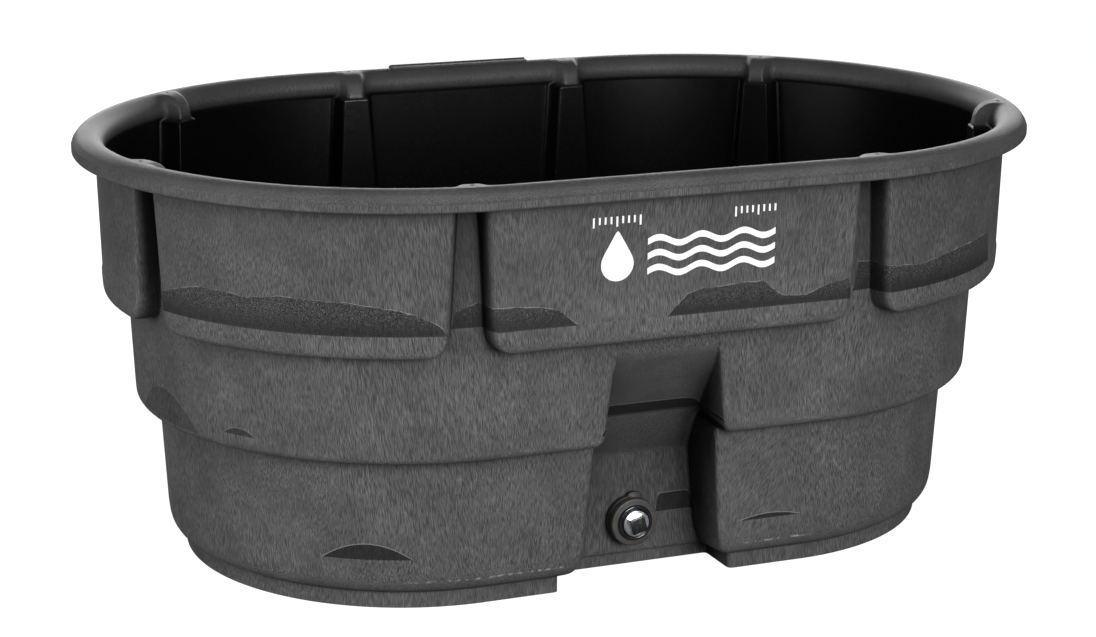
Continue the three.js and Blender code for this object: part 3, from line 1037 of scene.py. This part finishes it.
FIBRE_SCALE = 1250
FIBRE_STRETCH = (1, 1, 0.055)
PLASTIC_DARK = (0.026, 0.026, 0.0263)
PLASTIC_LIGHT = (0.14, 0.14, 0.141)
FLOW_DARK = (0.0045, 0.0045, 0.0047)
FLOW_SPECK = (0.2, 0.2, 0.2)
FLOW_EDGE = (0.22, 0.22, 0.22)
SCUFF = (0.33, 0.33, 0.32)
# painted shade: the near-black colour laid over the basin and the hollows
PAINTED_SHADE_COLOR = (0.001, 0.001, 0.001)
EDGE_STRENGTH = 0.8
SCUFF_STRENGTH = 0.8
# how strongly the painted shade darkens the basin
BASIN_PAINTED_SHADE = 0.98
# painted shade in the hollows: how strong it is, and how far the occlusion that places it reaches
HOLLOW_PAINTED_SHADE = 0.97
PAINTED_SHADE_REACH = 0.3


def flow_tops(f, s):
    """Height in metres of the top edge of the flow marks above the upper step, by distance round the plan."""
    node = f.node("FloatCurve")
    curve = node.mapping.curves[0]
    first, last = FLOW_TOPS[0][0], FLOW_TOPS[-1][0]
    points = [((a - first) / (last - first), (z - FLOW_BASE_Z) / FLOW_SPAN) for a, z in FLOW_TOPS]
    for i, (a, h) in enumerate(points):
        if 0 < i < len(points) - 1:
            curve.points.new(a, h)
        else:
            curve.points[0 if i == 0 else -1].location = (a, h)
    for point in curve.points:
        point.handle_type = "VECTOR"
    node.mapping.update()
    share = f.node("MapRange", (s, first * MM, last * MM, 0.0, 1.0)).outputs[0]
    f.feed(node.inputs["Value"], share)
    return f.add(f.times(node.outputs[0], FLOW_SPAN * MM), FLOW_BASE_Z * MM)


def leaning_fibres(f, at, lean):
    """Short fibres that all lean by the same sideways run for each metre of height."""
    run = f.times(at.outputs[2], -lean)
    leaning = f.node("CombineXYZ", (f.add(at.outputs[0], run), at.outputs[1], at.outputs[2])).outputs[0]
    return f.noise(FIBRE_SCALE, FIBRE_STRETCH, 3, 0.6, leaning)


def fibre_threads(f, s, z):
    """Strength of the light fibres, which lean left or right by area, and steeply beside the alcove, with
    painted shade making them fainter from the panels up and towards the right end.
    """
    at = f.node("SeparateXYZ", (f.place,))
    left_lean, right_lean, alcove_lean = (leaning_fibres(f, at, lean) for lean in FIBRE_LEANS)
    drift = f.step(f.noise(4, detail=2), 0.42, 0.58)
    fibre = f.blend(drift, right_lean, left_lean)
    beside_alcove = f.times(f.between(s, 0.12, 0.2, 0.03), f.step(z, 0.26, 0.22), f.step(z, 0.04, 0.07))
    fibre = f.blend(beside_alcove, fibre, alcove_lean)
    on_rim = f.step(z, 0.625, 0.6, 0.9, 1)
    # painted shade: the fibres are made fainter from the panels up and towards the right end, which turns
    # away from the lights
    upper_panel_painted_shade = f.step(z, 0.43, 0.5, 1, 0.78)
    right_end_painted_shade = f.step(s, 0.65, 1.0, 1, 0.45)
    return f.times(f.step(fibre, 0.33, 0.73), on_rim, upper_panel_painted_shade, right_end_painted_shade)


def upper_flow(f, s, z):
    """The flow marks over the upper step: where they are, and their broken light upper edge."""
    waver = f.math("MULTIPLY_ADD", f.noise(55, detail=3), 0.008, -0.004)
    depth = f.math("SUBTRACT", f.add(flow_tops(f, s), waver), z)
    inside = f.times(f.step(depth, 0, 0.0016), f.step(z, 0.4284, 0.4298))
    broken = f.step(f.noise(45, detail=4, roughness=0.7), 0.42, 0.62, 0.05, 1)
    edge = f.times(f.between(depth, -0.0003, 0.0008, 0.0006), f.step(z, 0.43, 0.4316), broken)
    return inside, edge


def lens_flow(f, s, z, low, high, foot, peak, flatness, line, share):
    """A small flow mark with an arched top: where it is, and its light upper edge."""
    middle, half = (low + high) / 2 * MM, (high - low) / 2 * MM
    off = f.math("ABSOLUTE", f.times(f.math("SUBTRACT", s, middle), 1 / half))
    arch = f.math("SUBTRACT", 1, f.math("POWER", off, flatness))
    rise = f.math("SUBTRACT", f.times(arch, (peak - foot) * MM), f.math("SUBTRACT", z, foot * MM))
    inside = f.times(f.step(rise, 0, 0.0015), f.step(z, (foot - 0.7) * MM, (foot + 0.7) * MM), share)
    edge = f.times(f.between(rise, -0.0006, 0.0008, 0.0006), f.step(z, foot * MM, (foot + 1) * MM), line)
    return inside, edge


def scuffs(f, s, z):
    """Light rubbed places along the foot, on both sides of the alcove."""
    beside_alcove = f.add(f.between(s, -0.387, -0.131, 0.03), f.between(s, 0.143, 0.256, 0.02))
    rubbed = f.step(f.noise(150, detail=4, roughness=0.7), 0.48, 0.62)
    return f.times(beside_alcove, f.between(z, 0.0452, 0.0478, 0.0010), rubbed)


def tank_plastic(name):
    """Black structural foam: fine light fibres, smooth dark flow marks, and painted shade that darkens the
    basin and the hollows.
    """
    f = Finish(name, 0.5, specular=0.2)
    plan = f.node("SeparateXYZ", (f.node("UVMap", uv_map="plan").outputs[0],))
    s, z = plan.outputs[0], plan.outputs[1]
    threads = fibre_threads(f, s, z)
    patchy = f.step(f.noise(14, detail=4, roughness=0.6), 0.3, 0.72, 0.72, 1.2)
    grain = f.noise(1100, detail=2)

    flow, edge = upper_flow(f, s, z)
    for lens in LENSES:
        inside, line = lens_flow(f, s, z, *lens)
        flow = f.math("MAXIMUM", flow, inside)
        edge = f.math("MAXIMUM", edge, line)
    specks = f.times(f.step(f.noise(1150, detail=1), 0.54, 0.7), f.step(z, 0.43, 0.465, 0.2, 1))
    smooth = f.mix(f.math("MAXIMUM", specks, f.times(threads, 0.12)), FLOW_DARK, FLOW_SPECK)

    base = f.mix(f.times(threads, patchy), PLASTIC_DARK, PLASTIC_LIGHT)
    base = f.mix(flow, base, smooth)
    base = f.mix(f.times(edge, EDGE_STRENGTH), base, FLOW_EDGE)
    # painted shade: the basin below the bead is coloured near black; the same mask also makes it smoother
    basin = f.times(f.math("GREATER_THAN", s, BASIN_OFFSET * MM / 2), f.step(z, 0.614, 0.592))
    base = f.mix(f.times(basin, BASIN_PAINTED_SHADE), base, PAINTED_SHADE_COLOR)
    # painted shade: ambient occlusion darkens the colour in the grooves, the alcove, the basin and other
    # recesses
    hollow_occlusion_shade = f.node("AmbientOcclusion", samples=6, only_local=True)
    hollow_occlusion_shade.inputs["Distance"].default_value = PAINTED_SHADE_REACH
    base = f.mix(f.step(hollow_occlusion_shade.outputs["AO"], 0.3, 0.95, HOLLOW_PAINTED_SHADE, 0), base, PAINTED_SHADE_COLOR)
    base = f.mix(f.times(scuffs(f, s, z), SCUFF_STRENGTH), base, SCUFF)
    f.color(base)
    f.rough(f.add(f.times(flow, -0.1), f.times(basin, -0.32), f.step(grain, 0.3, 0.7, 0.48, 0.62)))
    height = f.add(f.times(threads, 0.5), f.times(grain, 0.5), f.times(edge, 1.6), f.times(flow, -1.4))
    f.bump(height, 0.00022)
    return f


def rubber(name, dark, light, roughness, grain=0.00012):
    """Moulded rubber: faint cloudiness and fine pores."""
    f = Finish(name, roughness)
    f.color(f.mix(f.step(f.noise(60, detail=4), 0.3, 0.7), dark, light))
    f.rough(f.step(f.noise(180, detail=3), 0.3, 0.7, roughness - 0.06, roughness + 0.08))
    f.bump(f.noise(1500, detail=2), grain)
    return f


def turned_plastic(name, dark, light, roughness):
    """Moulded threaded plastic: faint turning rings about the drain axis and a little dust."""
    f = Finish(name, roughness)
    from_axis = f.node("VectorMath", (f.place, tuple(drain_axis(0))), operation="SUBTRACT").outputs[0]
    at = f.node("SeparateXYZ", (from_axis,))
    out = f.math("SQRT", f.add(f.times(at.outputs[0], at.outputs[0]), f.times(at.outputs[2], at.outputs[2])))
    rings = f.noise(900, (1, 1, 1), 2, 0.6, f.node("CombineXYZ", (out, 0.0, 0.0)).outputs[0])
    dust = f.step(f.noise(110, detail=5, roughness=0.65), 0.42, 0.7)
    f.color(f.mix(f.add(f.times(dust, 0.6), f.times(rings, 0.4)), dark, light))
    f.rough(f.step(f.noise(240, detail=3), 0.3, 0.7, roughness - 0.07, roughness + 0.09))
    f.bump(f.add(f.times(rings, 0.6), f.times(f.noise(1200, detail=2), 0.4)), 0.00012)
    return f


def plated_steel(name):
    """Zinc plate over a cast plug: clouded bright plate, small dark pits, and painted shade darkening the end
    of the head.
    """
    f = Finish(name, 0.24, metallic=1.0)
    cloud = f.step(f.noise(90, detail=5, roughness=0.65), 0.3, 0.7)
    pits = f.step(f.noise(420, detail=3), 0.66, 0.74)
    plate = f.mix(cloud, (0.62, 0.64, 0.66), (0.83, 0.84, 0.85))
    y = f.node("SeparateXYZ", (f.place,)).outputs[1]
    # painted shade: the end face of the square head is coloured dark
    head_end_painted_shade = f.step(y, (PLUG_FACE - HEAD_H + 1.3) * MM, (PLUG_FACE - HEAD_H + 0.5) * MM)
    plate = f.mix(head_end_painted_shade, plate, (0.085, 0.085, 0.088))
    f.color(f.mix(pits, plate, (0.2, 0.19, 0.18)))
    f.rough(f.step(f.noise(260, (1, 1, 0.2), 3), 0.3, 0.7, 0.22, 0.42))
    f.bump(f.add(f.noise(700, (1, 1, 0.15), 2), f.times(pits, -0.8)), 0.0001)
    return f


def white_ink(name):
    """Screen printed white: thin where the fibres stand up, with fine pinholes."""
    f = Finish(name, 0.6)
    thin = f.step(f.noise(420, (1, 1, 0.1), 3), 0.3, 0.62)
    holes = f.step(f.noise(900, detail=2), 0.74, 0.8)
    ink = f.mix(thin, (0.66, 0.67, 0.68), (0.86, 0.87, 0.88))
    f.color(f.mix(holes, ink, (0.2, 0.2, 0.2)))
    f.rough(f.step(f.noise(300, detail=2), 0.3, 0.7, 0.5, 0.68))
    f.bump(thin, 0.00006)
    return f


def studio_floor(name):
    """A plain floor with a white glow that only the camera sees, so it lights nothing."""
    f = Finish(name, 0.9, specular=0.1)
    f.color(f.mix(f.noise(0.8, detail=2), (0.16, 0.16, 0.16), (0.18, 0.18, 0.18)))
    f.shader.inputs["Emission Color"].default_value = (1, 1, 1, 1)
    seen = f.node("LightPath").outputs["Is Camera Ray"]
    f.feed(f.shader.inputs["Emission Strength"], f.times(seen, FLOOR_GLOW))
    return f


# what makes each finish, and its settings
FINISHES = {
    "tank_plastic": (tank_plastic,),
    "black_rubber": (rubber, (0.012, 0.012, 0.012), (0.03, 0.03, 0.031), 0.62),
    "fitting_plastic": (turned_plastic, (0.008, 0.008, 0.009), (0.03, 0.03, 0.031), 0.42),
    "collar_plastic": (turned_plastic, (0.028, 0.026, 0.023), (0.062, 0.057, 0.05), 0.5),
    "seal_rubber": (rubber, (0.006, 0.007, 0.009), (0.012, 0.013, 0.016), 0.16, 0.00003),
    "plated_steel": (plated_steel,),
    "white_ink": (white_ink,),
    "studio_floor": (studio_floor,),
}
made_finishes = {}


def finish(name):
    """The material of that name, made when it is first asked for."""
    if name not in made_finishes:
        make, *settings = FINISHES[name]
        made_finishes[name] = make(name, *settings).material
    return made_finishes[name]


# -------------------- stage, light and camera
def floor():
    size = FLOOR_HALF
    corners = [(-size, -size, 0), (size, -size, 0), (size, size, 0), (-size, size, 0)]
    obj = mesh_from("floor", corners, [(0, 1, 2, 3)], smooth=False)
    obj.data.materials.append(finish("studio_floor"))


def area_light(name, place, aim, size, power):
    data = bpy.data.lights.new(name, "AREA")
    data.shape = "RECTANGLE"
    data.size, data.size_y = size
    data.energy = power
    obj = bpy.data.objects.new(name, data)
    obj.location = place
    obj.rotation_mode = "QUATERNION"
    obj.rotation_quaternion = (Vector(aim) - Vector(place)).to_track_quat("-Z", "Y")
    bpy.context.scene.collection.objects.link(obj)


def world():
    made = bpy.data.worlds.new("studio")
    made.use_nodes = True
    sky = made.node_tree.nodes["Background"]
    sky.inputs["Color"].default_value = (1, 1, 1, 1)
    sky.inputs["Strength"].default_value = WORLD_STRENGTH
    bpy.context.scene.world = made


def camera():
    """Looks at the target from the set direction and distance, rolled a little about the line of sight."""
    data = bpy.data.cameras.new("camera")
    data.sensor_width = SENSOR_WIDTH
    data.lens = CAMERA_LENS
    data.clip_end = 100
    a, e, r = (math.radians(v) for v in (CAMERA_AZIMUTH, CAMERA_ELEVATION, CAMERA_ROLL))
    back = Vector((math.sin(a) * math.cos(e), -math.cos(a) * math.cos(e), math.sin(e)))
    right = Vector((math.cos(a), math.sin(a), 0))
    up = back.cross(right)
    right, up = right * math.cos(r) + up * math.sin(r), up * math.cos(r) - right * math.sin(r)
    turn = Matrix((right, up, back)).transposed().to_4x4()
    obj = bpy.data.objects.new("camera", data)
    obj.matrix_world = Matrix.Translation((Vector(CAMERA_TARGET) + back * CAMERA_DISTANCE) * MM) @ turn
    bpy.context.scene.collection.objects.link(obj)
    bpy.context.scene.camera = obj


# -------------------- build
tank_moulding()
for build in (inner_gasket, bulkhead_body, outer_gasket, lock_ring, bushing_washer, drain_bushing, plug_seal,
              pipe_plug, rim_pad, front_print):
    build()
floor()
world()
for light in LIGHTS:
    area_light(*light)
camera()
bpy.context.scene.view_settings.view_transform = "Standard"
